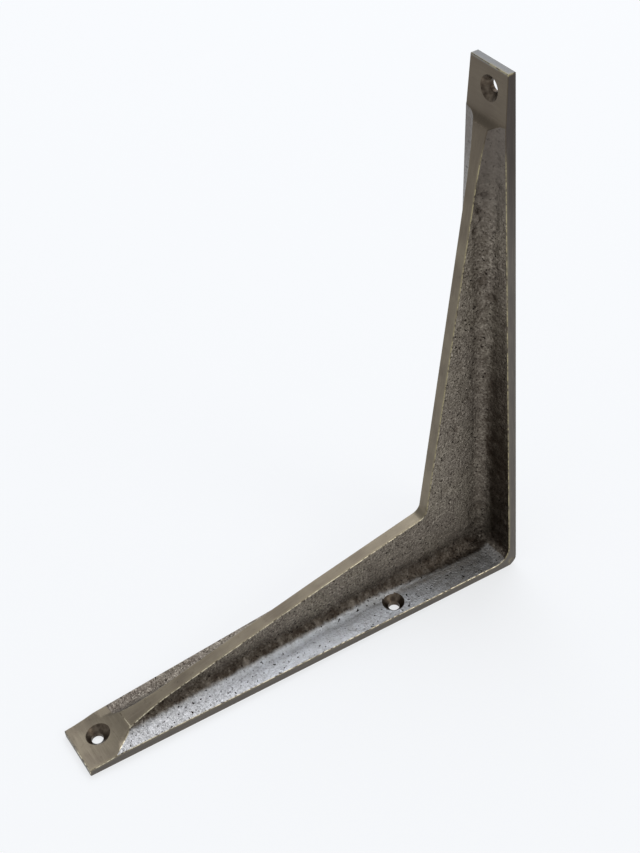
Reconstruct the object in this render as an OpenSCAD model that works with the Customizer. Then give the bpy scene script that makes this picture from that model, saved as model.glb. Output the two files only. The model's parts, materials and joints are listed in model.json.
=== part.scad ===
// Cast shelf bracket: two flanges at a right angle, tied together by a sloping rib.
// The origin is the outer corner, where the wall plane meets the shelf plane, at mid-width.
// The wall arm stands up along +Z, with its flat back on y = 0.
// The shelf arm lies along -Y, with its flat back on z = 0.

/* [Arms] */
// Length of the shelf arm, from the wall plane to its tip
shelf_arm_l = 178.6; // [150:0.2:230]
// Length of the wall arm, from the shelf plane to its tip
wall_arm_l = 204.8; // [165:0.2:260]
// Width of both flanges at the corner
corner_w = 36.6; // [30:0.2:46]
// Width of the shelf arm at its tip
shelf_tip_w = 20.4; // [16:0.2:27]
// Width of the wall arm at its tip
wall_tip_w = 18.2; // [15:0.2:26]

/* [Flanges] */
// Thickness of the flanges along their middle line
flange_t = 4.8; // [4.2:0.1:6.5]
// Draft of the inner faces, which thins each flange towards its edges, in degrees
flange_draft = 4.4; // [2:0.1:5]
// Radius that rounds the outer corner
outer_corner_r = 4.5; // [2:0.25:7]
// Radius of the fillet across the inner corner, from flange to flange
inner_corner_r = 6.5; // [4:0.25:9]

/* [Rib] */
// Thickness of the rib
rib_t = 4.9; // [3.5:0.1:7]
// Distance of the rib's knee from the wall plane, and from the shelf plane
knee_d = 30.8; // [26:0.2:38]
// Radius in the knee of the rib's ground edge
knee_r = 4; // [2:0.25:8]
// Height that the line of the rib's edge has fallen to at the tip of the shelf arm
shelf_rib_tip_h = 1.4; // [0.5:0.1:2.5]
// Height that the line of the rib's edge has fallen to at the tip of the wall arm
wall_rib_tip_h = 3; // [1.5:0.1:3.5]
// Outward bow of the rib's edge along the shelf arm
shelf_rib_bow = 1.1; // [0.4:0.1:2.5]
// Radius of the fillets where the rib grows out of the flanges
root_r = 5.5; // [3.5:0.25:6.5]

/* [Ground pads] */
// Thickness of both arms at their tips, where the pads are ground
pad_t = 3; // [2.4:0.1:3.4]
// Length of the shelf arm's pad, which rises in one arc from the tip to the rib's edge
shelf_pad_l = 19.2; // [14:0.2:26]
// Length of the flat part of the wall arm's pad
wall_pad_l = 16.4; // [12:0.2:22]
// Slope of the flat part, which thins the wall arm towards its tip, in degrees
wall_pad_slope = 3.2; // [0:0.1:5]
// Radius of the rise from the flat part of the wall arm's pad to the rib's edge
wall_pad_r = 4; // [3.5:0.25:10]

/* [Screw holes] */
// Diameter of the screw holes
hole_d = 4.3; // [3.6:0.1:5]
// Diameter of the countersinks where they open
sink_d = 8.4; // [7.4:0.1:9.2]
// Full angle of the countersinks, in degrees
sink_angle = 90; // [82:1:100]
// Distance of the shelf arm's end hole from the tip
shelf_end_hole = 8.5; // [7:0.1:12]
// Sideways place of the shelf arm's end hole
shelf_end_hole_x = -1.6; // [-2.5:0.1:2.5]
// Distance of the wall arm's end hole from the tip
wall_end_hole = 7.5; // [6.5:0.1:9]
// Sideways place of the wall arm's end hole
wall_end_hole_x = 0.8; // [-1.5:0.1:1.5]
// Distance of the shelf arm's inner hole from the wall plane
shelf_inner_hole = 51.6; // [40:0.2:64]
// Distance of the wall arm's inner hole from the shelf plane
wall_inner_hole = 51.6; // [40:0.2:64]
// Sideways distance of the inner holes from the middle of the rib
inner_hole_x = 10; // [9:0.1:11]

/* [Hidden] */

// Facets of the small round faces, of the shelf arm's pad and of the long shallow bow
$fn = 64;
pad_fn = 256;
bow_fn = 1440;
// Depth that the end of each fillet sinks into the face that it runs out on
sink_in = 0.02;
// Distance that a cutting shape reaches past the face that it cuts
past = 1;

rib_half = rib_t / 2;
corner_half = corner_w / 2;
draft_k = tan(flange_draft);
sink_k = tan(sink_angle / 2);

// Points of the rib's outline, as [distance from the wall plane, distance from the shelf plane]
knee = [knee_d, knee_d];
shelf_rib_end = [shelf_arm_l, shelf_rib_tip_h];
wall_rib_end = [wall_rib_tip_h, wall_arm_l];

// Height of a flange's inner face above its back, at a distance x from the middle line
function flange_h(x) = flange_t - draft_k * abs(x);
// Unit vector from a to b
function toward(a, b) = (b - a) / norm(b - a);
// The vector v turned left by an angle
function turned(v, angle) = [
    v[0] * cos(angle) - v[1] * sin(angle),
    v[0] * sin(angle) + v[1] * cos(angle)
];
// Radius of the arc that starts level and rises by a height over a length
function arc_r(length, rise) = (length * length + rise * rise) / (2 * rise);
// Height that an arc of radius r has risen by, at a distance d from where it starts level
function arc_rise(r, d) = r - sqrt(r * r - d * d);

// The bowed edge of the rib, from the knee to the shelf arm's tip
bow_chord = norm(shelf_rib_end - knee);
bow_out = turned(toward(knee, shelf_rib_end), 90);
bow_r = arc_r(bow_chord / 2, shelf_rib_bow);
bow_center = (knee + shelf_rib_end) / 2 - bow_out * (bow_r - shelf_rib_bow);
function bowed_edge_h(distance) = bow_center[1] + sqrt(bow_r * bow_r - pow(distance - bow_center[0], 2));

// The shelf arm's pad ends on the rib's edge.
shelf_pad_r = arc_r(shelf_pad_l, bowed_edge_h(shelf_arm_l - shelf_pad_l) - pad_t);

// An arm is drawn with x across it, y out from the corner and z up from its flat back.
module as_shelf_arm() {
    mirror([0, 1, 0]) children();
}

module as_wall_arm() {
    rotate([90, 0, 0]) children();
}

// Draws a section of an arm, as [x, height], all along its length
module along(length) {
    translate([0, length, 0]) rotate([90, 0, 0]) linear_extrude(height = length) children();
}

// Draws a side outline, as [distance from the wall plane, distance from the shelf plane]
module across(width) {
    rotate([90, 0, -90]) linear_extrude(height = width, center = true) children();
}

// Outline of an arm seen square to its back, tapering straight from the corner to the tip
module arm_plan(length, tip_w, height) {
    tip_half = tip_w / 2;
    linear_extrude(height = height)
        polygon([[-corner_half, 0], [corner_half, 0], [tip_half, length], [-tip_half, length]]);
}

// Flange of an arm, flat on its back and falling to both edges on its inner face
module flange(length, tip_w) {
    edge = corner_half + past;
    intersection() {
        arm_plan(length, tip_w, flange_t + past);
        along(length)
            polygon([[-edge, 0], [edge, 0], [edge, flange_h(edge)], [0, flange_t], [-edge, flange_h(edge)]]);
    }
}

// Fillets on both sides of the rib, in the corner between its side and an arm's flange
module root_fillets(length) {
    center_x = rib_half + root_r - sink_in;
    center_h = flange_h(center_x) + (root_r - sink_in) / cos(flange_draft);
    toe = [center_x, center_h] - root_r * [sin(flange_draft), cos(flange_draft)];
    for (side = [0, 1])
        mirror([side, 0, 0]) along(length) difference() {
            polygon([[0, 0], [toe[0], 0], toe, [center_x, center_h], [0, center_h]]);
            translate([center_x, center_h]) circle(r = root_r);
        }
}

// Fillets across the inner corner, one on each side of the rib.
// Both inner faces fall outwards, so the line where they meet slopes, and each fillet follows it.
module inner_corner_fillets() {
    center_d = flange_t + (inner_corner_r - sink_in) / cos(flange_draft);
    slope = atan(draft_k * sqrt(2));
    intersection() {
        for (side = [0, 1])
            mirror([side, 0, 0]) intersection() {
                translate([0, -center_d, center_d]) rotate([-45, 0, 0]) rotate([0, 90, slope])
                    linear_extrude(height = 2 * corner_w, center = true) difference() {
                        rotate(45) square(inner_corner_r + past);
                        circle(r = inner_corner_r);
                    }
                translate([0, -center_d, 0]) cube([corner_half, center_d, center_d]);
            }
        as_shelf_arm() arm_plan(shelf_arm_l, shelf_tip_w, center_d);
        as_wall_arm() arm_plan(wall_arm_l, wall_tip_w, center_d);
    }
}

// Part of the rib under the arc that bows its edge outwards, between the knee and the shelf arm's tip
module rib_bow() {
    reach = 2 * shelf_rib_bow;
    intersection() {
        translate(bow_center) circle(r = bow_r, $fn = bow_fn);
        polygon([[0, 0], [shelf_arm_l, 0], shelf_rib_end + [0, reach], knee + bow_out * reach]);
    }
}

// Fillet in the knee, between the bowed edge and the straight one
module knee_fillet() {
    // The bowed edge leaves the knee flatter than its chord.
    shelf_way = turned(toward(knee, shelf_rib_end), asin(bow_chord / 2 / bow_r));
    wall_way = toward(knee, wall_rib_end);
    middle_way = toward([0, 0], shelf_way + wall_way);
    half_angle = acos(shelf_way * middle_way);
    center = knee + middle_way * (knee_r - sink_in) / sin(half_angle);
    foot_d = (knee_r - sink_in) / tan(half_angle);
    difference() {
        polygon([knee - middle_way * past,
            knee + shelf_way * foot_d - turned(shelf_way, 90) * past,
            center,
            knee + wall_way * foot_d - turned(wall_way, -90) * past]);
        translate(center) circle(r = knee_r);
    }
}

// Side outline of the rib
module rib_outline() {
    polygon([[0, 0], [shelf_arm_l, 0], shelf_rib_end, knee, wall_rib_end, [0, wall_arm_l]]);
    rib_bow();
    knee_fillet();
}

// Rib with its root fillets, all ground off along one edge
module rib() {
    across(rib_t) rib_outline();
    intersection() {
        union() {
            as_shelf_arm() root_fillets(shelf_arm_l);
            as_wall_arm() root_fillets(wall_arm_l);
        }
        across(rib_t + 2 * root_r) rib_outline();
    }
}

// What the grinding wheel takes off at the two tips
module ground_away() {
    across(corner_w) translate([shelf_arm_l, pad_t + shelf_pad_r]) circle(r = shelf_pad_r, $fn = pad_fn);
    across(corner_w) translate([pad_t, wall_arm_l]) rotate(wall_pad_slope) translate([0, -wall_pad_l]) {
        square([2 * wall_pad_r, wall_pad_l + past]);
        translate([wall_pad_r, 0]) circle(r = wall_pad_r);
    }
}

// What rounds the outer corner
module corner_round() {
    center_d = outer_corner_r - sink_in;
    across(corner_w + past) difference() {
        translate([-past, -past]) square(center_d + past);
        translate([center_d, center_d]) circle(r = outer_corner_r);
    }
}

// Countersunk hole through an arm, whose rim lies at a height above the arm's back.
// Above its cone the drill's body goes on straight up, past the root fillet beside it.
module screw_hole(distance, sideways, rim_h) {
    sink_depth = (sink_d - hole_d) / 2 / sink_k;
    body_d = sink_d + 2 * past * sink_k;
    translate([sideways, distance, 0]) {
        translate([0, 0, -past]) cylinder(d = hole_d, h = rim_h + 2 * past);
        translate([0, 0, rim_h - sink_depth])
            cylinder(d1 = hole_d, d2 = body_d, h = sink_depth + past);
        translate([0, 0, rim_h + past]) cylinder(d = body_d, h = root_r);
    }
}

module shelf_arm_holes() {
    screw_hole(shelf_arm_l - shelf_end_hole, shelf_end_hole_x, pad_t + arc_rise(shelf_pad_r, shelf_end_hole));
    screw_hole(shelf_inner_hole, inner_hole_x, flange_h(inner_hole_x));
}

// The wall arm's inner hole is on the other side of the rib from the shelf arm's.
module wall_arm_holes() {
    screw_hole(wall_arm_l - wall_end_hole, wall_end_hole_x, pad_t + wall_end_hole * tan(wall_pad_slope));
    screw_hole(wall_inner_hole, -inner_hole_x, flange_h(inner_hole_x));
}

module bracket() {
    color("#6f665a") difference() {
        union() {
            as_shelf_arm() flange(shelf_arm_l, shelf_tip_w);
            as_wall_arm() flange(wall_arm_l, wall_tip_w);
            inner_corner_fillets();
            rib();
        }
        ground_away();
        corner_round();
        as_shelf_arm() shelf_arm_holes();
        as_wall_arm() wall_arm_holes();
    }
}

bracket();
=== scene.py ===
# %% [markdown]
# # A cast brass shelf bracket
# The bracket is one sand casting. A foundry pours brass into a mould, saws off the sprue, and grinds the faces
# that meet the wall, the shelf and the screws. So it has two kinds of surface, and this notebook makes both:
# a rough skin where the sand was, and smooth, dull faces where the belt has been.
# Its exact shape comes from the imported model, and each step below adds one thing to it.

# %% Load the fixed frame
import json
import math

import bmesh
import bpy
import numpy as np
from mathutils import Matrix, Vector, noise
from mathutils.kdtree import KDTree


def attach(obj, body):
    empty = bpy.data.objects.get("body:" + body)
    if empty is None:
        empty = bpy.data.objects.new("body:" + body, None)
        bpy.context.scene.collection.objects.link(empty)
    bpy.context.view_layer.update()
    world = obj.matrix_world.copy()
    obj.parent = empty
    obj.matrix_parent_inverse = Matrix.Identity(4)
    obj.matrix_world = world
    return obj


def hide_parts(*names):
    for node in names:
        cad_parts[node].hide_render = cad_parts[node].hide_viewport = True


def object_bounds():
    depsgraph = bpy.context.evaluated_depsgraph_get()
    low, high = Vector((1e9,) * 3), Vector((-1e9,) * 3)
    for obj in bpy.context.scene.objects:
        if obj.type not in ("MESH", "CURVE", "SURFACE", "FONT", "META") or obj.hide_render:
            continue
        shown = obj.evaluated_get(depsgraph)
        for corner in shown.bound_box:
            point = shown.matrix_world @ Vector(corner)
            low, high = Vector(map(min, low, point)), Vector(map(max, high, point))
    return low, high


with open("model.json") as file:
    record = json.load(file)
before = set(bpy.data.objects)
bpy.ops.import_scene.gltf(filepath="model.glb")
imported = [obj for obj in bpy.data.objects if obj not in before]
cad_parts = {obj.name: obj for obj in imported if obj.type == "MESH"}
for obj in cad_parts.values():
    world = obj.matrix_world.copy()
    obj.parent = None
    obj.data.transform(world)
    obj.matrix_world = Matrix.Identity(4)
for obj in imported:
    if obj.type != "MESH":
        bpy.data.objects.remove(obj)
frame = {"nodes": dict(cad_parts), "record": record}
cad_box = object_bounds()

MM = 0.001
low, high = (np.array(corner) for corner in cad_box)
screw_holes = [(Vector(m["pos_m"]), Vector(m["axis"])) for m in frame["record"]["mounts"] if m["kind"] == "bore"]
print("CAD box in mm:", np.round(low / MM, 1), np.round(high / MM, 1), "and", len(screw_holes), "screw holes")

# %% [markdown]
# ## Two helpers
# Blender shades in linear light, but a colour is easiest to judge and write as an sRGB hex value, so one
# function turns one into the other. A second one adds a node to any tree, sets it and links it, which keeps
# the recipes below short enough to read.

# %% Colour and node helpers
def linear(hex_colour):
    """An sRGB hex colour as linear RGBA."""
    parts = [int(hex_colour[i:i + 2], 16) / 255 for i in (1, 3, 5)]
    return [c / 12.92 if c <= 0.04045 else ((c + 0.055) / 1.055) ** 2.4 for c in parts] + [1.0]


def add(tree, kind, settings=None, inputs=None):
    """Adds a node, links the inputs that are given another node's output, sets the rest, and returns its output."""
    made = tree.nodes.new(kind)
    for name, value in (settings or {}).items():
        setattr(made, name, value)
    for name, value in (inputs or {}).items():
        socket = made.inputs[name] if isinstance(name, int) else next(
            i for i in made.inputs if i.name == name and i.enabled)
        if isinstance(value, bpy.types.NodeSocket):
            tree.links.new(value, socket)
        else:
            socket.default_value = value
    return next((o for o in made.outputs if o.enabled), None)


print("dark casting skin in linear light:", [round(c, 3) for c in linear("#5a524b")])

# %% [markdown]
# ## A clean copy of the casting
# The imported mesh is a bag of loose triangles, which is right for a fixed frame and useless for shaping. A copy
# is merged into one skin, and the triangles that lie in one plane are dissolved into a single face. The casting
# could be modelled anew here, but then it might not fit its frame. The frame's own mesh stays as it is.

# %% Copy the CAD mesh and clean the copy
SAME_PLACE = 0.001 * MM
SAME_PLANE = math.radians(0.5)

casting = bmesh.new()
casting.from_mesh(frame["nodes"]["bracket"].data)
bmesh.ops.remove_doubles(casting, verts=casting.verts, dist=SAME_PLACE)
bmesh.ops.dissolve_limit(casting, angle_limit=SAME_PLANE, verts=casting.verts, edges=casting.edges)
casting.normal_update()
print("clean copy:", len(casting.verts), "points,", len(casting.faces), "faces")

# %% [markdown]
# ## Which faces the drill cut
# A screw hole is a straight bore and a cone, and all its faces look at its axis. They could be picked by hand, but
# a rule finds them again after every change of the model: a face belongs to a hole if all its points lie close to
# the axis and it looks that way, which leaves out the flat of a pad right beside the rim. The end holes sit in
# sloping pads, which open their cones wider, so they get a longer reach.

# %% Faces of the screw holes
END_REACH = 5.4 * MM
INNER_REACH = 4.7 * MM
HOLE_DEPTH = 5 * MM
MIDDLE_STRIP = 5 * MM  # the end holes lie this close to the middle line
LOOKS_IN = 0.6


def in_hole(point, start, axis, reach):
    """Whether a point is within reach of a hole's axis."""
    along_axis = (point - start).dot(axis)
    return abs(along_axis) < HOLE_DEPTH and (point - start - axis * along_axis).length < reach


def cut_by_drill(face, start, axis):
    """Whether a face is part of the hole that starts there."""
    reach = END_REACH if abs(start.x) < MIDDLE_STRIP else INNER_REACH
    to_axis = start - face.calc_center_median()
    to_axis -= axis * to_axis.dot(axis)
    looks_in = face.normal.dot(to_axis.normalized()) > LOOKS_IN
    return looks_in and all(in_hole(v.co, start, axis, reach) for v in face.verts)


print("faces of the screw holes:", [sum(cut_by_drill(f, *hole) for f in casting.faces) for hole in screw_holes])

# %% [markdown]
# ## Which face has which finish
# A face tells by its direction how it was made. The moulded faces have draft, a lean of a few degrees that let
# the pattern out of the sand, and the ground ones have none. The rib's sides are the one exception, and they lie
# close to the middle line. The finish is kept as the face's material index, because every later cut and bevel
# hands that on to the pieces of the face.

# %% Sort the faces by finish
CAST, GROUND, DRILLED, ARRIS = range(4)
RIB_STRIP = 4 * MM
NO_LEAN, ALL_LEAN = 0.02, 0.99


def finish_of(face):
    """The finish of a face, from where it is and the way it looks."""
    if any(cut_by_drill(face, *hole) for hole in screw_holes):
        return DRILLED
    lean = abs(face.normal.x)
    on_rib = abs(face.calc_center_median().x) < RIB_STRIP
    return GROUND if lean < NO_LEAN or (lean > ALL_LEAN and not on_rib) else CAST


for face in casting.faces:
    face.material_index = finish_of(face)
print("cast, ground, drilled:", [sum(f.material_index == k for f in casting.faces) for k in (CAST, GROUND, DRILLED)])

# %% [markdown]
# ## Rubbed arrises
# An arris is the line where two faces meet. On a brass casting that has been handled and wiped, each one is
# worn to a thin bright land. A shader could brighten the edges alone, but a real land also catches the light the
# way a worn one does. So a bevel of a fifth of a millimetre makes it, and gives it a material of its own. Only the
# outward edges get one, for dirt, not wear, collects in the inward ones. The rims of the holes stay sharp, and so
# does the wall pad's rise, where the belt rolled over and left no edge to rub.

# %% Bevel the outward edges
ARRIS_W = 0.2 * MM
SHARP = math.radians(28)
RISE_FROM, RISE_TO = 178 * MM, 192 * MM


def across_rise(edge):
    """Whether an edge runs crosswise on the rise of the wall arm's pad."""
    a, b = (v.co for v in edge.verts)
    return abs(a.x - b.x) > MM and all(RISE_FROM < p.z < RISE_TO for p in (a, b))


def beside_hole(edge):
    """Whether an edge touches a screw hole or its rim."""
    return any(in_hole(v.co, *hole, END_REACH + ARRIS_W) for v in edge.verts for hole in screw_holes)


outward = [e for e in casting.edges
           if e.calc_face_angle_signed(0) > SHARP and not across_rise(e) and not beside_hole(e)]
bmesh.ops.bevel(casting, geom=outward, offset=ARRIS_W, offset_type="OFFSET", segments=1, profile=0.5,
                affect="EDGES", clamp_overlap=False, material=ARRIS)
casting.normal_update()
land = sum(f.calc_area() for f in casting.faces if f.material_index == ARRIS)
print("arrises:", round(land / (ARRIS_W * math.sqrt(2)) / MM), "mm long")

# %% [markdown]
# ## Slicing the casting
# Displacement moves points, so the skin needs points closer together than its lumps are. A remesh would make them
# even, but it would also round off the ground edges. So the first cuts go through the casting like those through
# a loaf, in all three directions, and leave mostly square cells.

# %% Slice in three directions
SLICE = 4.8 * MM
SNAP = 0.02 * MM

for axis in range(3):
    normal = Vector([float(axis == k) for k in range(3)])
    for place in np.arange(low[axis] + SLICE / 2, high[axis], SLICE):
        everything = list(casting.faces) + list(casting.edges) + list(casting.verts)
        bmesh.ops.bisect_plane(casting, geom=everything, plane_co=normal * place, plane_no=normal, dist=SNAP)
print("sliced casting:", len(casting.verts), "points,", len(casting.faces), "faces")

# %% [markdown]
# ## Where the belt stopped on the shelf tip
# The pad at the shelf tip was ground freehand, so its edge isn't the clean line of the model. It runs straight
# across the rib's end, and from there slants off to both sides, further on the near one. A painted mask would be
# only as sharp as the cells are small, so the line is cut: it is given as points, in millimetres across the arm and
# away from the wall, and upright cuts along it part the faces.

# %% Cut along the edge of the shelf pad
PAD_EDGE = [(-12, 162), (-6.1, 161.5), (-4.4, 159.4), (3.6, 158.9), (5.5, 161), (7.4, 163.7), (12, 170.2)]
PAD_EDGE_ZONE = (150 * MM, 172 * MM)
SEAM_W = 0.28 * MM
LOOKS_UP = 0.5

pad_line = []
for (x0, u0), (x1, u1) in zip(PAD_EDGE, PAD_EDGE[1:]):
    way = Vector((x1 - x0, u0 - u1, 0)).normalized()
    pad_line.append((x0 * MM, x1 * MM, Vector((x0, -u0, 0)) * MM, Vector((way.y, -way.x, 0))))


def by_pad_edge(face):
    """Whether a face is on top of the shelf arm, where the pad begins."""
    from_wall = -face.calc_center_median().y
    return face.normal.z > LOOKS_UP and PAD_EDGE_ZONE[0] < from_wall < PAD_EDGE_ZONE[1]


for left, right, start, outward_way in pad_line:
    for depth in (0, SEAM_W):
        faces = [f for f in casting.faces
                 if by_pad_edge(f) and left - MM < f.calc_center_median().x < right + MM]
        parts = {e for f in faces for e in f.edges} | {v for f in faces for v in f.verts}
        bmesh.ops.bisect_plane(casting, geom=faces + list(parts), plane_co=start + outward_way * depth,
                               plane_no=outward_way, dist=SNAP)
print("the edge of the shelf pad has", len(pad_line), "stretches")

# %% [markdown]
# ## The finish on each side of that line
# Beyond the line the belt left ground metal, and along it a thin land is rubbed bare, like an arris. On the near
# side the line lies further out than the model's pad, so there the moulded skin grows a little. The arrises along
# the arm's two sides keep their finish.

# %% Ground metal, seam and skin beside the line
SEAM_FROM, SEAM_TO = -4.4 * MM, 9.3 * MM  # these three are places across the arm
SKIN_FROM = 7 * MM
SIDE_ARRIS = 9 * MM

changed = 0
for face in casting.faces:
    middle = face.calc_center_median()
    if not by_pad_edge(face) or face.material_index == DRILLED:
        continue
    if face.material_index == ARRIS and abs(middle.x) > SIDE_ARRIS:
        continue
    start, outward_way = next((s, w) for left, right, s, w in pad_line if left <= middle.x < right)
    depth = (middle - start).dot(outward_way)
    if depth > 0:
        face.material_index = ARRIS if depth < SEAM_W and SEAM_FROM < middle.x < SEAM_TO else GROUND
    elif middle.x > SKIN_FROM:
        face.material_index = CAST
    changed += 1
print("faces beside the edge of the shelf pad:", changed)

# %% [markdown]
# ## Down to the last cells
# Now every edge that is still long is halved, three times over, which brings the cells to well under a
# millimetre. A modifier would halve the short edges as well. It comes after the cuts above, so that they too end up
# in small cells. The two flat backs have nothing to shape and keep their slices.

# %% Halve the long edges
CELL = 0.85 * MM
HALVINGS = 3
STRAIGHT = 0.999


def is_back(face):
    """Whether a face is part of a flat back."""
    return face.normal.z < -STRAIGHT or face.normal.y > STRAIGHT


many_sided = [f for f in casting.faces if len(f.verts) > 4 and not is_back(f)]
bmesh.ops.triangulate(casting, faces=many_sided)
for _ in range(HALVINGS):
    long_edges = [e for e in casting.edges
                  if e.calc_length() > CELL and not all(is_back(f) for f in e.link_faces)]
    bmesh.ops.subdivide_edges(casting, edges=long_edges, cuts=1, use_grid_fill=True)
    casting.normal_update()
print("fine casting:", len(casting.verts), "points,", len(casting.faces), "faces")

# %% [markdown]
# ## From a workbench to a mesh
# A bmesh is a workbench for cutting, and a mesh is what Blender keeps and shades. Shading is smooth all over,
# apart from the edges of worked faces, which stay crisp. From here on the finish of a face is an attribute.

# %% Turn the casting into a mesh
CRISP = math.radians(22)

for edge in casting.edges:
    beside_worked = any(f.material_index != CAST for f in edge.link_faces)
    edge.smooth = not (beside_worked and edge.calc_face_angle(0) > CRISP)
for face in casting.faces:
    face.smooth = True
skin_mesh = bpy.data.meshes.new("cast_bracket")
casting.to_mesh(skin_mesh)
casting.free()

points = np.array([v.co for v in skin_mesh.vertices])
finish = np.array([f.material_index for f in skin_mesh.polygons])
skin_mesh.attributes.new("finish", "INT", "FACE").data.foreach_set("value", finish)
print("faces by finish:", np.bincount(finish))

# %% [markdown]
# ## What each point knows about itself
# The patterns below ask where a point is: how far from a worked edge, how deep in the channel beside the rib,
# which face it is on. A shader could work that out each time, but it is plainer to work it out once here, and to
# keep it on the mesh as named attributes. The first ones are distances, and the first use of them is a mask: the
# skin may only move where it is free, and it dies out toward the wall tip, where the mould was smoother.

# %% Distance to the nearest worked face
FREE_FROM, FREE_AT = -0.4 * MM, 0.9 * MM  # the relief comes in over this distance from a worked face
SMOOTH_END = (165, 186)  # mm up the wall arm, where the skin gets smoother
SMOOTHED = 0.6
SKIN_REACH, ARRIS_REACH = 4 * MM, 6 * MM


def smooth_step(start, end, value):
    """Goes from 0 at the start to 1 at the end, softly at both."""
    share = np.clip((value - start) / (end - start), 0, 1)
    return share * share * (3 - 2 * share)


def keep(name, values, kind="FLOAT", domain="POINT"):
    """Keeps values on the mesh as a named attribute."""
    field = "vector" if kind == "FLOAT_VECTOR" else "value"
    skin_mesh.attributes.new(name, kind, domain).data.foreach_set(field, np.asarray(values, np.float32).ravel())


def nearest(finishes_sought, reach):
    """Distance of every point to the nearest face of some finishes, up to a reach."""
    sought = {v for f in skin_mesh.polygons if f.material_index in finishes_sought for v in f.vertices}
    tree = KDTree(len(sought))
    for k in sought:
        tree.insert(points[k], k)
    tree.balance()
    return np.array([min(tree.find(p)[2], reach) for p in points])


from_worked = nearest((GROUND, DRILLED, ARRIS), SKIN_REACH)
skin = smooth_step(FREE_FROM, FREE_AT, from_worked) * (from_worked > 0)
skin *= 1 - SMOOTHED * smooth_step(*SMOOTH_END, points[:, 2] / MM)
keep("skin", skin)
keep("from_arris", nearest((ARRIS,), ARRIS_REACH) / MM)
print("points that may move:", int((skin > 0).sum()), "of", len(points))

# %% [markdown]
# ## Places on an arm
# Both arms are made alike, so places are told in an arm's own terms, in millimetres: along it from the corner,
# aside from its middle line, and the rise above its flat back.

# %% Along, aside and rise
x, y, z = points.T
on_shelf = z < -y
near, far = x > 0, x < 0
aside = np.abs(x) / MM
along = np.where(on_shelf, -y, z) / MM
rise = np.where(on_shelf, z, -y) / MM
arm_length = np.where(on_shelf, -low[1], high[2]) / MM
print("points on the shelf arm and on the wall arm:", on_shelf.sum(), (~on_shelf).sum())

# %% [markdown]
# ## Dirt and painted shade in the channel
# The channel beside the rib is painted dark, partly for the dirt that no cloth reaches and partly as the shade that
# falls into it. Ambient occlusion could find it, but that fades evenly, and this dark ends at a border. So the
# border
# is drawn: the channel is widest at the corner, and a little noise makes its edge ragged. The far side of the shelf
# arm and the foot of the wall arm get the same dirt and painted shade.

# %% Dirt and painted shade
CHANNEL_W, WIDER_AT_CORNER = 4.6, 3.4  # mm to each side of the middle line
NARROWING = (12, 62)  # mm along, where the channel gets narrower
RAGGED, RAG_SIZE = 0.5, 1.7 * MM  # how far the border strays, and over what length
BORDER_SOFT = 0.8  # mm
RIB_CLEAR = (7, 13)  # mm of rise, where the rib's side comes out of the dirt and painted shade
WALL_CHANNEL, FAR_FLANGE, WALL_FOOT = 0.55, 0.25, 1.1  # the shelf arm's channel has 1
FLANGE_FROM, FLANGE_TOP = 3, 8  # mm aside and of rise, where the open flange is
FOOT_BEGINS, FOOT_ENDS = (-1, 5), (50, 150)  # mm past the corner's diagonal, and up the wall arm
MOST_DIRT_AND_SHADE = 1.1

channel_w = CHANNEL_W + WIDER_AT_CORNER * (1 - smooth_step(*NARROWING, along))
channel_w += RAGGED * np.array([noise.noise(Vector(p) / RAG_SIZE) for p in points])
in_channel = 1 - smooth_step(-BORDER_SOFT, BORDER_SOFT, aside - channel_w)
in_channel *= 1 - smooth_step(*RIB_CLEAR, rise)
outside = 1 - in_channel

up_the_wall = smooth_step(*FOOT_BEGINS, (z + y) / MM)
dirt_and_shade = in_channel * np.where(on_shelf, 1, WALL_CHANNEL)
dirt_and_shade += FAR_FLANGE * outside * (aside > FLANGE_FROM) * (rise < FLANGE_TOP) * on_shelf * far
dirt_and_shade += WALL_FOOT * outside * (aside > channel_w - 1) * up_the_wall * (1 - smooth_step(*FOOT_ENDS, along))
keep("dirt_and_shade", np.minimum(dirt_and_shade, MOST_DIRT_AND_SHADE))
print("share of the points that are mostly sheltered:", round(float((dirt_and_shade > 0.5).mean()), 2))

# %% [markdown]
# ## Painted sheen
# A cold sheen is painted on the open flange faces: the near one of the shelf arm from the corner outwards, and the
# far one of the wall arm near its tip. The toe of the root fillet, just outside the channel's border, gets a painted
# highlight. It could all be painted on by hand, but here each sheen is a row of steps, so it is easy to see how
# much there is where: a share, and the millimetres along the arm over which it comes in.

# %% Painted sheen and toe highlight
NEAR_SHEEN = [(0.66, 0, 12), (0.34, 14, 52), (-0.42, 90, 150)]
FAR_SHEEN = [(0.5, 90, 150)]
FLANGE_RISE = 6.5  # mm
TOE_OUT, TOE_W = 1.6, 1.3  # mm beyond the channel's border, and how far the toe spreads
TOE_BEGINS, TOE_ENDS = (5, 18), (50, 70)  # mm along


def sheen_steps(steps):
    """How much painted sheen each point gets."""
    return sum(share * smooth_step(start, end, along) for share, start, end in steps)


# A cold sheen painted on the open flange faces, standing in for the soft box's reflection.
painted_sheen = np.where(on_shelf, sheen_steps(NEAR_SHEEN) * near, sheen_steps(FAR_SHEEN) * far)
keep("painted_sheen", outside * (rise < FLANGE_RISE) * painted_sheen)
# A painted highlight along the toe of the root fillet, just outside the channel.
toe = np.exp(-((aside - channel_w - TOE_OUT) / TOE_W) ** 2)
toe *= smooth_step(*TOE_BEGINS, along) * (1 - smooth_step(*TOE_ENDS, along))
keep("toe", toe * on_shelf * near)
print("most handling and toe:", [round(float(a.max()), 2) for a in (painted_sheen, toe)])

# %% [markdown]
# ## Which face a corner is on
# At an arris a point belongs to two faces that were ground in different ways, so these attributes are kept for
# each corner of each face instead. An end face and the knee of the rib have a tone of their own, the dip in front of
# the wall pad's rise gets painted shade, and toward its tip the whole wall arm gets darker and duller. More
# materials could give those tones, but the lines between them would be hard, and these fade.

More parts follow.
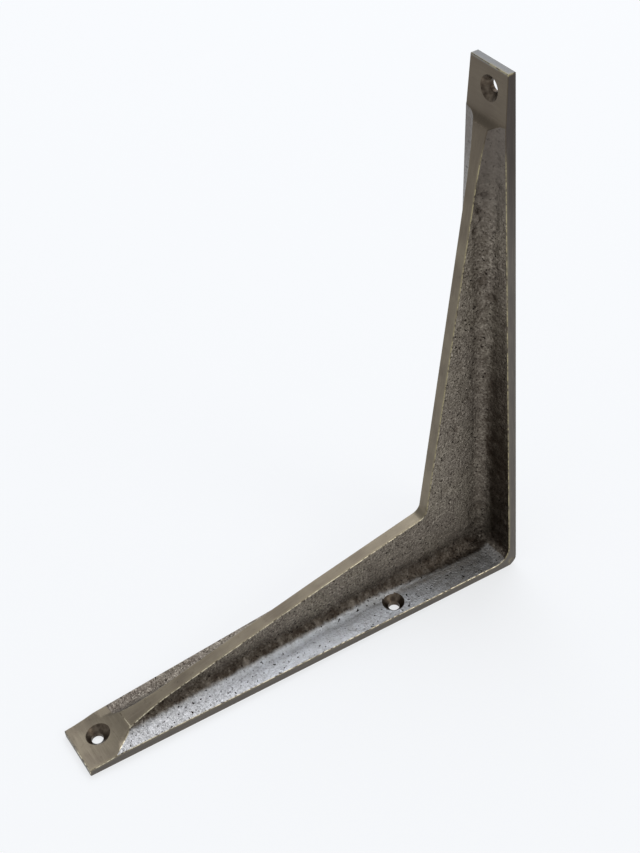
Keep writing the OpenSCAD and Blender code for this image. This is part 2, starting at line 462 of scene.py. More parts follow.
# %% Sides, backs, ends, knee, dip and tip
SIDEWAYS = 0.7
DULL_TIP = (135, 180)  # mm up the wall arm
DIP_BELOW_END, DIP_W = 18, 2.2  # mm
KNEE_PLACE = 31 * MM  # from the wall and above the shelf plane
KNEE_FADES = (4, 40)  # mm away from there
END_DEPTH = 0.3  # mm

corner_point = np.array([c.vertex_index for c in skin_mesh.loops])
corner_face = np.repeat(np.arange(len(skin_mesh.polygons)), [len(f.vertices) for f in skin_mesh.polygons])
facing = np.array([f.normal for f in skin_mesh.polygons])[corner_face]
side = np.abs(facing[:, 0]) > SIDEWAYS
back = (facing[:, 2] < -STRAIGHT) | (facing[:, 1] > STRAIGHT)
inward = ~side & ~back

tip = smooth_step(*DULL_TIP, along) * ~on_shelf
# Painted shade in the concave dip in front of the wall pad's rise.
dip_shade = np.exp(-((along - arm_length + DIP_BELOW_END) / DIP_W) ** 2) * ~on_shelf
knee = 1 - smooth_step(*KNEE_FADES, np.hypot(-y - KNEE_PLACE, z - KNEE_PLACE) / MM)
end = along > arm_length - END_DEPTH
for name, values in (("side", side), ("tip", tip[corner_point] * ~back), ("dip_shade", dip_shade[corner_point] * inward),
                     ("end", end[corner_point] & inward), ("knee", knee[corner_point] * inward)):
    keep(name, values, domain="CORNER")
keep("upright", ~on_shelf)
print("face corners on sides, on backs and on the rest:", side.sum(), back.sum(), inward.sum())

# %% [markdown]
# ## The way of the belt
# A belt leaves parallel lines, and they run across the pads but along everything else. An unwrapped mesh could carry
# them, but its seams would cut them. The attribute "belt" is a place for the pattern to read instead: its first
# number runs across the lines and its second one along them. The third only sets the pads and the sides apart, so
# that no line runs round an edge.

# %% Belt coordinates
SHELF_PAD, WALL_PAD = 19, 17  # mm from the end of each arm
PAD_APART, SIDE_APART = 7.0, 3.0

c_x, c_along, c_rise = (a[corner_point] for a in (x / MM, along, rise))
pad_from = (arm_length - np.where(on_shelf, SHELF_PAD, WALL_PAD))[corner_point]
pad = inward & (c_along > pad_from)
over_lines = np.where(pad, c_along, np.where(side, c_rise, c_x))
down_lines = np.where(pad, c_x, c_along)
keep("belt", np.stack([over_lines, down_lines, PAD_APART * pad + SIDE_APART * side], 1), "FLOAT_VECTOR", "CORNER")
print("face corners on the pads:", pad.sum())

# %% [markdown]
# ## Where the arrises are rubbed
# An arris is rubbed where hands and cloths get at it. The upper ones on the near side are rubbed bare. The far ones,
# the lower ones and those of the shelf pad's edge are less so, and on the wall arm the rubbing ends below the pad.
# The end edge of the tip is lightened further, a painted highlight. One number for each point is enough to say so.

# %% Rub of the arrises
UPPER = 1.5  # mm of rise
NEAR_RUB, FAR_RUB, LOWER_RUB = 1, 0.35, 0.15
PAD_SEAM = (158, 171)  # mm along the shelf arm
PAD_SEAM_SIDE, PAD_SEAM_RUB = 9.6, 0.55
# The second number lightens the end edge of the wall arm's tip, a painted highlight against the shade of its bevel.
WALL_RUB, TIP_EDGE_HIGHLIGHT = 0.8, 1.6
WALL_RUB_ENDS = (172, 182)  # mm up the wall arm
TIP_EDGE = 0.5  # mm

rub = np.where(rise > UPPER, np.where(near, NEAR_RUB, FAR_RUB), LOWER_RUB)
on_seam = on_shelf & (along > PAD_SEAM[0]) & (along < PAD_SEAM[1]) & (aside < PAD_SEAM_SIDE)
rub *= np.where(on_seam, PAD_SEAM_RUB, 1)
up_to_pad = WALL_RUB * (1 - smooth_step(*WALL_RUB_ENDS, along))
rub *= np.where(on_shelf, 1, up_to_pad + TIP_EDGE_HIGHLIGHT * (along > arm_length - TIP_EDGE))
keep("rub", rub)
print("kept:", [a.name for a in skin_mesh.attributes if not a.name.startswith(".")])

# %% [markdown]
# ## Lumps and nicks
# Sand that broke loose in the mould leaves lumps, mostly along the root of the rib, and knocks leave nicks. These
# are one casting's own, so they aren't left to a pattern: each is placed one by one, as a soft bump or hollow with
# a faint ring round it. They could be sculpted as well, but a list can be read, changed and run again.

# %% Place the lumps and nicks
MARKS = [  # mm across from the middle line, arm, mm along it, rise, radius, and lift, which is negative for a nick
    (3.7, "shelf", 66, 6.4, 1.5, 0.75), (3.5, "shelf", 70, 6.8, 0.9, 0.50), (3.9, "shelf", 81, 6.2, 1.4, 0.65),
    (3.7, "shelf", 86, 6.5, 0.9, 0.50), (3.9, "shelf", 112, 6.2, 1.6, 0.80), (3.7, "shelf", 117, 6.4, 1.1, -0.50),
    (3.9, "shelf", 128, 6.1, 1.2, 0.60), (3.7, "shelf", 134, 6.2, 0.9, 0.50), (3.6, "shelf", 97, 6.5, 1.1, 0.50),
    (3.7, "shelf", 104, 6.4, 0.8, -0.45), (4.0, "shelf", 75, 6.1, 0.8, -0.40), (3.5, "shelf", 59, 6.8, 1.0, 0.45),
    (13.8, "wall", 125, 3.6, 1.0, -0.45), (5.6, "wall", 122, 5.2, 1.7, -0.60), (5.0, "wall", 103, 5.6, 1.3, 0.50),
    (2.5, "wall", 48, 6.5, 0.8, -0.45), (2.5, "wall", 67, 17, 0.8, -0.45), (3.9, "wall", 169, 6.2, 0.8, -0.50),
    (4.2, "wall", 166, 6.0, 1.0, 0.60), (3.5, "wall", 162, 6.8, 0.9, -0.70), (3.2, "wall", 159, 7.4, 1.0, 0.60),
    (2.9, "wall", 156, 7.9, 0.8, -0.70), (2.6, "wall", 153, 8.6, 0.9, 0.50), (2.5, "wall", 149, 9.3, 1.0, -0.70),
]
# The ring is a shallow dent, and the dark coat of the hollows turns it into a painted shadow round each mark.
RING, RING_AT, RING_W = 0.15, 1.65, 0.4  # its depth as a share of the lift, and its place and width in radii

marks = np.zeros(len(points))
for across, arm, way, height, radius, lift in MARKS:
    place = (across, -way, height) if arm == "shelf" else (across, -height, way)
    off = np.linalg.norm(points / MM - place, axis=1) / radius
    marks += lift * (np.exp(-off ** 2) - RING * np.exp(-((off - RING_AT) / RING_W) ** 2))
keep("marks", marks)
print(len(MARKS), "marks, from", round(marks.min(), 2), "to", round(marks.max(), 2), "mm")

# %% [markdown]
# ## The skin of a sand casting
# Brass takes the print of the sand it is poured against, so its skin is a field of fine grains with slow swells
# where the mould wall gave, and a few pits where loose sand or gas was. All three follow one rule over the whole
# surface, which is what Geometry Nodes are for: a small tree moves each point along its normal by the sum of
# three patterns. Displacement in a material would look alike, but it would be lost when the mesh is exported. The
# sizes and depths are in millimetres. A grain of moulding sand is about a quarter of one, which is too fine for the
# mesh, so what is shaped here is the clusters of grains.

# %% Three patterns in the sand
SAND = {"Grain Size": 1.5, "Grain Depth": 0.42, "Swell Size": 8, "Swell Depth": 0.5, "Pit Size": 3.4,
        "Pit Depth": 0.25}
SEED = 7
NO_PIT = 0.62  # the share of the cells that stay without a pit
PIT_RADIUS = 0.26  # as a share of a cell


def sand_relief(tree, given):
    """How far the sand lifted each point, in millimetres; a pit only ever goes in."""
    place = add(tree, "ShaderNodeVectorMath", {"operation": "SCALE"},
                {0: add(tree, "GeometryNodeInputPosition"), "Scale": 1 / MM})
    relief = 0.0
    for name, detail in (("Grain", 2.0), ("Swell", 1.0)):
        scale = add(tree, "ShaderNodeMath", {"operation": "DIVIDE"}, {0: 1.0, 1: given[name + " Size"]})
        wave = add(tree, "ShaderNodeTexNoise", {"noise_dimensions": "4D"},
                   {"Vector": place, "W": given["Seed"], "Scale": scale, "Detail": detail, "Roughness": 0.55})
        centred = add(tree, "ShaderNodeMath", {"operation": "SUBTRACT"}, {0: wave, 1: 0.5})
        relief = add(tree, "ShaderNodeMath", {"operation": "MULTIPLY_ADD"},
                     {0: centred, 1: given[name + " Depth"], 2: relief})
    scale = add(tree, "ShaderNodeMath", {"operation": "DIVIDE"}, {0: 1.0, 1: given["Pit Size"]})
    cells = add(tree, "ShaderNodeTexVoronoi", {"voronoi_dimensions": "4D"},
                {"Vector": place, "W": given["Seed"], "Scale": scale}).node.outputs
    chance = add(tree, "FunctionNodeSeparateColor", {}, {"Color": cells["Color"]})
    has_pit = add(tree, "ShaderNodeMath", {"operation": "GREATER_THAN"}, {0: chance, 1: NO_PIT})
    bowl = add(tree, "ShaderNodeMapRange", {},
               {"Value": cells["Distance"], "From Min": PIT_RADIUS, "From Max": 0.0})
    pit = add(tree, "ShaderNodeMath", {"operation": "MULTIPLY"}, {0: bowl, 1: has_pit})
    pit = add(tree, "ShaderNodeMath", {"operation": "MULTIPLY"}, {0: pit, 1: given["Pit Depth"]})
    return add(tree, "ShaderNodeMath", {"operation": "SUBTRACT"}, {0: relief, 1: pit})


print("sand:", SAND)

# %% [markdown]
# ## The tree
# The mask lets the sand's relief through on the free skin only, and the marks come on top. The sum is also stored,
# so that the shaders know a hollow from a lump. At the end, each face gets the material of its finish.

# %% Build the tree
def cast_skin_tree():
    """Moves the free skin by the sand's relief and the marks, and gives each face its finish."""
    tree = bpy.data.node_groups.new("sand_cast_skin", "GeometryNodeTree")
    sockets = tree.interface
    sockets.new_socket("Geometry", in_out="INPUT", socket_type="NodeSocketGeometry")
    for name, value in SAND.items():
        sockets.new_socket(name, in_out="INPUT", socket_type="NodeSocketFloat").default_value = value
    sockets.new_socket("Seed", in_out="INPUT", socket_type="NodeSocketInt").default_value = SEED
    for name in ("Cast", "Ground", "Drilled", "Arris"):
        sockets.new_socket(name, in_out="INPUT", socket_type="NodeSocketMaterial")
    sockets.new_socket("Geometry", in_out="OUTPUT", socket_type="NodeSocketGeometry")
    given = add(tree, "NodeGroupInput").node.outputs

    kept = {name: add(tree, "GeometryNodeInputNamedAttribute", {"data_type": kind}, {"Name": name})
            for name, kind in (("skin", "FLOAT"), ("marks", "FLOAT"), ("finish", "INT"))}
    relief = add(tree, "ShaderNodeMath", {"operation": "MULTIPLY_ADD"},
                 {0: sand_relief(tree, given), 1: kept["skin"], 2: kept["marks"]})
    body = add(tree, "GeometryNodeStoreNamedAttribute", {"data_type": "FLOAT", "domain": "POINT"},
               {"Geometry": given["Geometry"], "Name": "relief", "Value": relief})
    lift = add(tree, "ShaderNodeMath", {"operation": "MULTIPLY"}, {0: relief, 1: MM})
    offset = add(tree, "ShaderNodeVectorMath", {"operation": "SCALE"},
                 {0: add(tree, "GeometryNodeInputNormal"), "Scale": lift})
    body = add(tree, "GeometryNodeSetPosition", {}, {"Geometry": body, "Offset": offset})

    body = add(tree, "GeometryNodeRealizeInstances", {}, {"Geometry": body})
    body = add(tree, "GeometryNodeSetMaterial", {}, {"Geometry": body, "Material": given["Cast"]})
    for number, name in ((GROUND, "Ground"), (DRILLED, "Drilled"), (ARRIS, "Arris")):
        chosen = add(tree, "FunctionNodeCompare", {"data_type": "INT", "operation": "EQUAL"},
                     {"A": kept["finish"], "B": number})
        body = add(tree, "GeometryNodeSetMaterial", {},
                   {"Geometry": body, "Selection": chosen, "Material": given[name]})
    add(tree, "NodeGroupOutput", {}, {0: body})
    return tree


skin_tree = cast_skin_tree()
print("skin tree:", len(skin_tree.nodes), "nodes")

# %% [markdown]
# ## Bare metal, and coats over it
# Every finish here is brass, which is a metal: its colour goes in the base colour at full metallic, and it keeps
# the usual IOR. Old brass isn't one colour, so each finish is a bare tone and a table of coats. A coat says what it
# follows, the value where it begins to show, the one where it shows most, how strong it is there, and its colour.
# One long colour ramp could mix them too, but it can follow only one pattern. A loop lays the coats over each
# other, and a strength or a colour may also be the name of another pattern.

# %% Bare metal and coats
def bare_metal(name):
    """An empty material with a metal shader in it; returns the material, its tree and the shader's inputs."""
    made = bpy.data.materials.new(name)
    made.use_nodes = True
    made.node_tree.nodes.clear()
    metal = add(made.node_tree, "ShaderNodeBsdfPrincipled", {}, {"Metallic": 1.0})
    add(made.node_tree, "ShaderNodeOutputMaterial", {}, {"Surface": metal})
    return made, made.node_tree, metal.node.inputs


def lay_coats(tree, bare, coats, patterns):
    """Lays each coat over the bare tone and the coats before it, and returns the result."""
    tone = linear(bare)
    for follows, begins, full, most, colour in coats:
        share = add(tree, "ShaderNodeMapRange", {},
                    {"Value": patterns[follows], "From Min": begins, "From Max": full,
                     "To Max": patterns.get(most, most)})
        over = patterns[colour] if colour in patterns else linear(colour)
        tone = add(tree, "ShaderNodeMix", {"data_type": "RGBA"}, {"Factor": share, "A": tone, "B": over})
    return tone


print("bare brass in linear light:", [round(c, 3) for c in linear("#f2e7c9")])

# %% [markdown]
# ## As-cast brass
# As-cast brass that has aged is brown, not yellow: the skin is a thin oxide that took up foundry dust and later
# wax. Its high grains are rubbed to bare metal, its hollows stay nearly black, and the channel beside the rib,
# which no cloth reaches and where shade falls, is painted the darkest of all. The eye gets a dull, speckled brown
# with a cold sheen painted on the open flange faces. A ready-made texture could be wrapped round it, but that
# wouldn't know the hollows of this skin, and the attributes do.

# %% Coats of as-cast brass
SKIN_BROWN = "#7a7266"
SKIN_COATS = [  # follows, begins to show at, shows most at, strength there, colour
    ("mottle", 0.35, 0.68, 1.0, "#938b7e"),         # lighter oxide, in patches
    ("cloud", 0.35, 0.65, 0.5, "#80776f"),          # slow change along the arms
    ("grain", 0.47, 0.33, "dust", "#433a33"),       # dust between the grains
    ("grain", 0.54, 0.68, "glint", "#bfb5a7"),      # grains rubbed bare
    ("relief", -0.02, -0.2, 0.5, "#483d34"),        # wax in the hollows
    ("sheen amount", 0.0, 1.0, 1.0, "sheen grey"),           # cold sheen painted on the open flange faces
    ("dirt and shade share", 0.0, 1.0, 1.0, "#352b22"),            # dirt and painted shade in the channel beside the rib
    ("relief", 0.1, 0.5, 0.28, "#a89e91"),          # painted highlight on the tops of the lumps
    ("toe", 0.0, 1.0, "toe grain", "#b9b5b0"),      # painted highlight on the toe of the root fillet
    ("tip", 0.0, 1.0, 0.8, "#635c56"),              # the duller end of the wall arm
    ("specked", 0.0, 1.0, 1.0, "#2c2520"),          # pinholes full of old wax
]
# The pale, cold grey of the painted sheen, which stands in for the soft box's reflection on the flanges.
SHEEN_GREY = "#c4c5c6"
SHEEN_COATS = [("mottle", 0.3, 0.7, 1.0, "#d5d7da")]
print("coats on the casting's skin:", len(SKIN_COATS))

# %% [markdown]
# ## What those coats follow
# Four noises are worked out from real sizes: the grain, the mottle of oxide, the slow cloud and the pinholes, which
# are the deepest dips of a noise. The sand's own grain of a quarter of a millimetre would be smaller than a pixel,
# so the grain and the pinholes are drawn three or four times as coarse. The rest are mixes of these with the
# attributes: toward the wall tip, where the mould was smoother, dust, glints and pinholes fade.

# %% Patterns of as-cast brass
SKIN_NOISES = {"grain": (0.8, 3.0, 0.65), "mottle": (3, 4.0, 0.5), "cloud": (15, 2.0, 0.5),
               "pinhole": (1.05, 1.0, 0.5)}         # size in mm, detail and roughness
SKIN_RANGES = {  # what it is worked out from, and the values it goes from and to
    "speck": ("pinhole", 0.33, 0.285, 0.0, 1.0),    # 1 in a pinhole
    "still rough": ("tip", 0.0, 1.0, 1.0, 0.15),    # less toward the wall tip
    "sheen on grain": ("grain", 0.36, 0.5, 0.74, 1.04),    # how well a hand gets into the grain
    "patchy": ("mottle", 0.25, 0.65, 0.95, 0.6),    # how thick the dirt and painted shade lie
    "toe grain": ("grain", 0.4, 0.6, 0.35, 1.0),    # the toe's painted highlight is brightest on the grains
    "rough": ("grain", 0.3, 0.7, 0.55, 0.36),       # rough in the dust, smoother on rubbed grains
}
SKIN_PRODUCTS = {"dust": ("still rough", 0.85), "glint": ("still rough", 0.8), "sheen amount": ("painted_sheen", "sheen on grain"),
                 "dirt and shade share": ("dirt_and_shade", "patchy"), "specked": ("speck", "still rough")}


def patterns_of(tree, kept, noises, ranges, products):
    """Every pattern that a finish follows, by its name: attributes, noises, ranges of them, and products."""
    place = add(tree, "ShaderNodeTexCoord").node.outputs["Object"]
    found = {name: add(tree, "ShaderNodeAttribute", {"attribute_name": name}).node.outputs["Fac"] for name in kept}
    for name, (size, detail, roughness) in noises.items():
        found[name] = add(tree, "ShaderNodeTexNoise", {}, {"Vector": place, "Scale": 1 / (size * MM),
                                                           "Detail": detail, "Roughness": roughness})
    for name, (source, from_min, from_max, to_min, to_max) in ranges.items():
        found[name] = add(tree, "ShaderNodeMapRange", {}, {
            "Value": found[source], "From Min": from_min, "From Max": from_max, "To Min": to_min, "To Max": to_max})
    for name, (one, other) in products.items():
        found[name] = add(tree, "ShaderNodeMath", {"operation": "MULTIPLY"},
                          {0: found[one], 1: found.get(other, other)})
    return found


print("patterns on the casting's skin:", len(SKIN_NOISES) + len(SKIN_RANGES) + len(SKIN_PRODUCTS))

# %% [markdown]
# ## As-cast brass, put together
# The coats give the colour. The grain is rougher where dust lies in it and smoother where it is rubbed, and shows as
# bump over the shaped skin, together with soft dents and the pinholes, because shaping it in the mesh would take
# far more points.

# %% Make as-cast brass
def as_cast_brass():
    made, tree, shader = bare_metal("as_cast_brass")
    pattern = patterns_of(tree, ("relief", "dirt_and_shade", "toe", "painted_sheen", "tip"),
                          SKIN_NOISES, SKIN_RANGES, SKIN_PRODUCTS)
    pattern["sheen grey"] = lay_coats(tree, SHEEN_GREY, SHEEN_COATS, pattern)
    tree.links.new(lay_coats(tree, SKIN_BROWN, SKIN_COATS, pattern), shader["Base Color"])
    tree.links.new(pattern["rough"], shader["Roughness"])
    dents = add(tree, "ShaderNodeBump", {}, {"Height": pattern["mottle"], "Strength": 0.8, "Distance": 0.35 * MM})
    grains = add(tree, "ShaderNodeBump", {}, {"Height": pattern["grain"], "Strength": pattern["still rough"],
                                              "Distance": 0.3 * MM, "Normal": dents})
    pinholes = add(tree, "ShaderNodeBump", {"invert": True},
                   {"Height": pattern["speck"], "Distance": 0.12 * MM, "Normal": grains})
    tree.links.new(pinholes, shader["Normal"])
    return made


cast_brass = as_cast_brass()
print(cast_brass.name, len(cast_brass.node_tree.nodes), "nodes")

# %% [markdown]
# ## Ground brass
# The pads, the rib's edge, the sides and the backs went over a grinding belt, then aged with the rest. The eye
# gets an even, satin brown that catches the light in fine lines. A belt of that grit leaves lines about a tenth of a
# millimetre apart, too fine to show here, so they are drawn at 0.28 mm, and some thirty times as long. They could
# be left out and an anisotropic shader used, but then only the glints would stretch, and no line would show.

# %% Coats and patterns of ground brass
GROUND_BROWN = "#6c6356"
GROUND_COATS = [  # follows, begins to show at, shows most at, strength there, colour
    ("cloud", 0.35, 0.65, 1.0, "#7c7363"),          # patches of thinner wax
    ("fleck", 0.6, 0.75, 0.4, "#4f463d"),           # dark flecks that the belt didn't reach
    ("tip", 0.0, 1.0, 0.6, "#5b5146"),              # the darker end of the wall arm
    ("side", 0.0, 1.0, 0.8, "#605c59"),             # the greyer sides of the flanges
    ("side near tip", 0.0, 1.0, 1.0, "#4f4945"),    # the sides of that end
    ("knee", 0.0, 1.0, 0.3, "#8c8370"),             # the knee, where hands lift the bracket
    ("dip_shade", 0.0, 1.0, 0.25, "#42382d"),             # painted shade in the dip before the wall pad
    ("end", 0.0, 1.0, 0.7, "#54504d"),              # the ground end faces
    ("upper end", 0.0, 1.0, 1.0, "#828281"),        # the wall arm's end, wiped grey
    ("lines", 0.5, 0.75, "line share", "#988e7c"),  # the belt's fine lines
    ("from_arris", 0.9, 0.1, "rim share", "#a19679"),   # wear beside the arrises
]
GROUND_NOISES = {"cloud": (11, 3.0, 0.5), "fleck": (1.4, 3.0, 0.6)}
GROUND_RANGES = {"still lined": ("tip", 0.0, 1.0, 1.0, 0.3)}
GROUND_PRODUCTS = {"side near tip": ("side", "tip"), "upper end": ("end", "upright"),
                   "line share": ("still lined", 0.22), "rim share": ("rub", 0.25),
                   "line depth": ("still lined", 0.5)}
LINE_W = 0.28  # mm from line to line
LINE_SQUEEZE = 0.035  # one over their length in line widths
print("coats on the ground faces:", len(GROUND_COATS))

# %% [markdown]
# ## Ground brass, put together
# The lines read the belt attribute, squeezed along their length, so each stretches out the way the belt ran. A
# slow wave in the bump keeps the flat faces from looking like glass, for a belt never leaves a true plane.

# %% Make ground brass
def aged_ground_brass():
    made, tree, shader = bare_metal("ground_brass")
    pattern = patterns_of(tree, ("from_arris", "side", "knee", "upright", "end", "tip", "rub", "dip_shade"),
                          GROUND_NOISES, GROUND_RANGES, GROUND_PRODUCTS)
    belt = add(tree, "ShaderNodeAttribute", {"attribute_name": "belt"}).node.outputs["Vector"]
    squeezed = add(tree, "ShaderNodeMapping", {}, {"Vector": belt, "Scale": (1.0, LINE_SQUEEZE, 1.0)})
    pattern["lines"] = add(tree, "ShaderNodeTexNoise", {},
                           {"Vector": squeezed, "Scale": 1 / LINE_W, "Detail": 3.0, "Roughness": 0.6})
    tree.links.new(lay_coats(tree, GROUND_BROWN, GROUND_COATS, pattern), shader["Base Color"])

    rough = add(tree, "ShaderNodeMapRange", {}, {"Value": pattern["lines"], "From Min": 0.3, "From Max": 0.7,
                                                 "To Min": 0.5, "To Max": 0.4})
    tree.links.new(rough, shader["Roughness"])
    wave = add(tree, "ShaderNodeBump", {}, {"Height": pattern["cloud"], "Strength": 0.5, "Distance": 0.12 * MM})
    scored = add(tree, "ShaderNodeBump", {}, {"Height": pattern["lines"], "Strength": pattern["line depth"],
                                              "Distance": 0.03 * MM, "Normal": wave})
    tree.links.new(scored, shader["Normal"])
    return made


ground_brass = aged_ground_brass()
print(ground_brass.name, len(ground_brass.node_tree.nodes), "nodes")

# %% [markdown]
# ## Drilled brass
# A countersink is cut by a bit that turns, and nothing wipes it afterwards. Its cone keeps the brown of old wax,
# thicker in some places than in others, and the eye gets a dark, slightly glossy ring round each hole. Turning
# marks could be added, but under the wax they don't show.

# %% Make drilled brass
def waxed_drilled_brass():
    made, tree, shader = bare_metal("drilled_brass")
    pattern = patterns_of(tree, (), {"wax": (1.8, 3.0, 0.5)}, {"rough": ("wax", 0.3, 0.7, 0.45, 0.32)}, {})
    tone = lay_coats(tree, "#4a4037", [("wax", 0.35, 0.65, 1.0, "#6f6457")], pattern)
    tree.links.new(tone, shader["Base Color"])
    tree.links.new(pattern["rough"], shader["Roughness"])
    uneven = add(tree, "ShaderNodeBump", {}, {"Height": pattern["wax"], "Strength": 0.7, "Distance": 0.05 * MM})
    tree.links.new(uneven, shader["Normal"])
    return made


drilled_brass = waxed_drilled_brass()
print(drilled_brass.name, len(drilled_brass.node_tree.nodes), "nodes")

# %% [markdown]
# ## The brass of the arrises
# Rubbed bare by cloths and hands, the arrises are the palest brass on the bracket, and the eye gets a thin bright
# line. It is broken here and there, where a nick or a pit of the skin reaches the edge and keeps its brown, so a
# plain bright metal wouldn't do. On the wall arm the metal is yellower and darker, for it is rubbed less bare.

# %% Make the arrises' brass
def rubbed_brass_arris():
    made, tree, shader = bare_metal("rubbed_brass_arris")
    pattern = patterns_of(tree, ("rub", "upright"), {"nick": (1.6, 3.0, 0.65)},
                          {"rough": ("nick", 0.3, 0.7, 0.45, 0.33), "worn from": ("upright", 0.0, 1.0, 0.38, 0.37)},
                          {})
    pattern["bare"] = lay_coats(tree, "#f2e7c9", [("upright", 0.0, 1.0, 1.0, "#b3a985")], pattern)
    unbroken = add(tree, "ShaderNodeMapRange", {},
                   {"Value": pattern["nick"], "From Min": pattern["worn from"], "From Max": 0.57})
    pattern["rubbed"] = add(tree, "ShaderNodeMath", {"operation": "MULTIPLY"}, {0: unbroken, 1: pattern["rub"]})
    tree.links.new(lay_coats(tree, "#5a5146", [("rubbed", 0.0, 1.0, 1.0, "bare")], pattern), shader["Base Color"])
    tree.links.new(pattern["rough"], shader["Roughness"])
    nicked = add(tree, "ShaderNodeBump", {}, {"Height": pattern["nick"], "Strength": 0.6, "Distance": 0.06 * MM})
    tree.links.new(nicked, shader["Normal"])
    return made


finishes = {"Cast": cast_brass, "Ground": ground_brass, "Drilled": drilled_brass, "Arris": rubbed_brass_arris()}
print([m.name for m in finishes.values()])

# %% [markdown]
# ## Putting the skin on the casting
# The tree runs as a modifier on the sliced mesh, with the four finishes in its material inputs. Its result is
# taken as a plain mesh and the modifier goes, because the piece that moves with the frame has to be finished.

# %% Apply the tree and hang the piece on the frame
bracket = bpy.data.objects.new("cast_bracket", skin_mesh)
bpy.context.scene.collection.objects.link(bracket)
skin_step = bracket.modifiers.new("sand_cast_skin", "NODES")
skin_step.node_group = skin_tree
for item in skin_tree.interface.items_tree:
    if item.name in finishes and item.in_out == "INPUT":
        skin_step[item.identifier] = finishes[item.name]
shaped = bpy.data.meshes.new_from_object(bracket.evaluated_get(bpy.context.evaluated_depsgraph_get()))
bracket.modifiers.clear()
bracket.data = shaped
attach(bracket, "root")
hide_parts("bracket")
print("bracket:", sum(len(f.vertices) - 2 for f in shaped.polygons), "triangles,",
      [m.name for m in shaped.materials])

# %% [markdown]
# ## The floor
# The bracket stands on its shelf arm on a pale, matt board. Plain white paint would turn grey under these lamps. So
# to the camera and in mirrors the board shows mostly its own colour, and only the rest of it is matt paint, which
# takes the object's soft shadow.

# %% Make the floor
OWN_COLOUR_SHARE = 0.7
FLOOR_CORNERS = [(-2, -2, 0), (2, -2, 0), (2, 2, 0), (-2, 2, 0)]  # m


def pale_floor():
    made = bpy.data.materials.new("pale_floor")
    made.use_nodes = True
    tree = made.node_tree
    tree.nodes.clear()
    matt = add(tree, "ShaderNodeBsdfDiffuse", {}, {"Color": linear("#f3f5f8")})
    glow = add(tree, "ShaderNodeEmission", {}, {"Color": linear("#f5f6f7"), "Strength": 1.075})
    path = add(tree, "ShaderNodeLightPath").node.outputs
    seen = path["Is Camera Ray"]
    for ray in ("Is Glossy Ray", "Is Transmission Ray"):
        seen = add(tree, "ShaderNodeMath", {"operation": "MAXIMUM"}, {0: seen, 1: path[ray]})
    seen = add(tree, "ShaderNodeMath", {"operation": "MULTIPLY"}, {0: seen, 1: OWN_COLOUR_SHARE})
    both = add(tree, "ShaderNodeMixShader", {}, {"Fac": seen, 1: matt, 2: glow})
    add(tree, "ShaderNodeOutputMaterial", {}, {"Surface": both})
    return made


floor_mesh = bpy.data.meshes.new("floor")
floor_mesh.from_pydata(FLOOR_CORNERS, [], [(0, 1, 2, 3)])
floor_mesh.materials.append(pale_floor())
floor = bpy.data.objects.new("floor", floor_mesh)
bpy.context.scene.collection.objects.link(floor)
print("floor corners in m:", FLOOR_CORNERS)

# %% [markdown]
# ## The room
# A white room gives soft light from all round. It could be built with walls, but a world is simpler and has no
# corners to mirror. It lights the metal at a moderate strength, so that the darks stay dark, and the camera sees it
# as plain white wall.

# %% Make the room
room = bpy.data.worlds.new("white_room")
bpy.context.scene.world = room
room.use_nodes = True
room.node_tree.nodes.clear()
soft = add(room.node_tree, "ShaderNodeBackground", {}, {"Color": linear("#f1f4f8"), "Strength": 0.62})
wall = add(room.node_tree, "ShaderNodeBackground", {}, {"Color": linear("#f4f6f8"), "Strength": 1.0})
seen = add(room.node_tree, "ShaderNodeLightPath").node.outputs["Is Camera Ray"]
both = add(room.node_tree, "ShaderNodeMixShader", {}, {"Fac": seen, 1: soft, 2: wall})
add(room.node_tree, "ShaderNodeOutputWorld", {}, {"Surface": both})
print("room:", room.name)

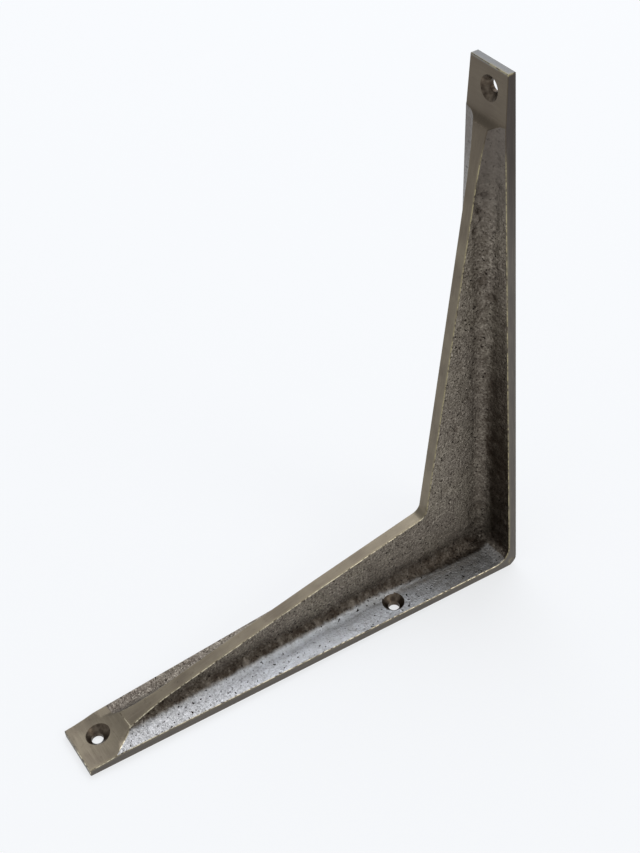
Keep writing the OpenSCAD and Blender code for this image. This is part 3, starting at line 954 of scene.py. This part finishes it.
# %% [markdown]
# ## The lamps
# One broad lamp stands high up behind the wall arm, off to the far side. A small one would give hard glints; this
# one puts a soft, cold sheen on the shelf arm and leaves the wall arm's inner face dark. A window on the near side,
# much weaker, only draws the edges.

# %% Two lamps
AIM = Vector((0, -0.08, 0.06))  # the middle of the bracket
LAMPS = [  # name, size in m, watts, colour, direction from the bracket, and distance in m
    ("soft_box", (1.9, 1.5), 24, "#f4f7ff", (-0.40, 0.34, 0.85), 2.2),
    ("window", (0.6, 0.4), 2.2, "#fffaf2", (0.70, 0.42, 0.56), 1.6),
]

for name, size, watts, colour, direction, distance in LAMPS:
    light = bpy.data.lights.new(name, "AREA")
    light.shape = "RECTANGLE"
    light.size, light.size_y = size
    light.energy = watts
    light.color = linear(colour)[:3]
    lamp = bpy.data.objects.new(name, light)
    bpy.context.scene.collection.objects.link(lamp)
    lamp.location = AIM + Vector(direction) * distance
    lamp.rotation_euler = (AIM - lamp.location).to_track_quat("-Z", "Y").to_euler()
    print(name, "at", [round(c, 2) for c in lamp.location])

# %% [markdown]
# ## The camera
# It looks down on the bracket from the near side, over the shelf arm's tip, through a short telephoto lens, which
# shows both arms in full with little distortion. Three turns aim it. It could be tied to a target instead, but a
# target can't tilt the horizon, and this view needs a roll of a few degrees.

# %% Place the camera
FOCAL, SENSOR = 60.44, 36  # mm
CAMERA_PLACE = (0.30479, -0.24393, 0.41356)  # m
TURN, DOWN, ROLL = 60.435, 42.162, -4.923  # degrees: about the vertical, down from level, and about the view

lens = bpy.data.cameras.new("camera")
lens.sensor_fit = "VERTICAL"
lens.sensor_height = SENSOR
lens.lens = FOCAL
lens.clip_start = 0.01
camera = bpy.data.objects.new("camera", lens)
bpy.context.scene.collection.objects.link(camera)
camera.location = CAMERA_PLACE
turn, tilt, roll = (math.radians(a) for a in (TURN, 90 - DOWN, ROLL))
camera.rotation_euler = (Matrix.Rotation(turn, 3, "Z") @ Matrix.Rotation(tilt, 3, "X")
                         @ Matrix.Rotation(roll, 3, "Z")).to_euler()
bpy.context.scene.camera = camera
bpy.context.scene.view_settings.view_transform = "Standard"
print("camera", [round(c, 3) for c in camera.location])
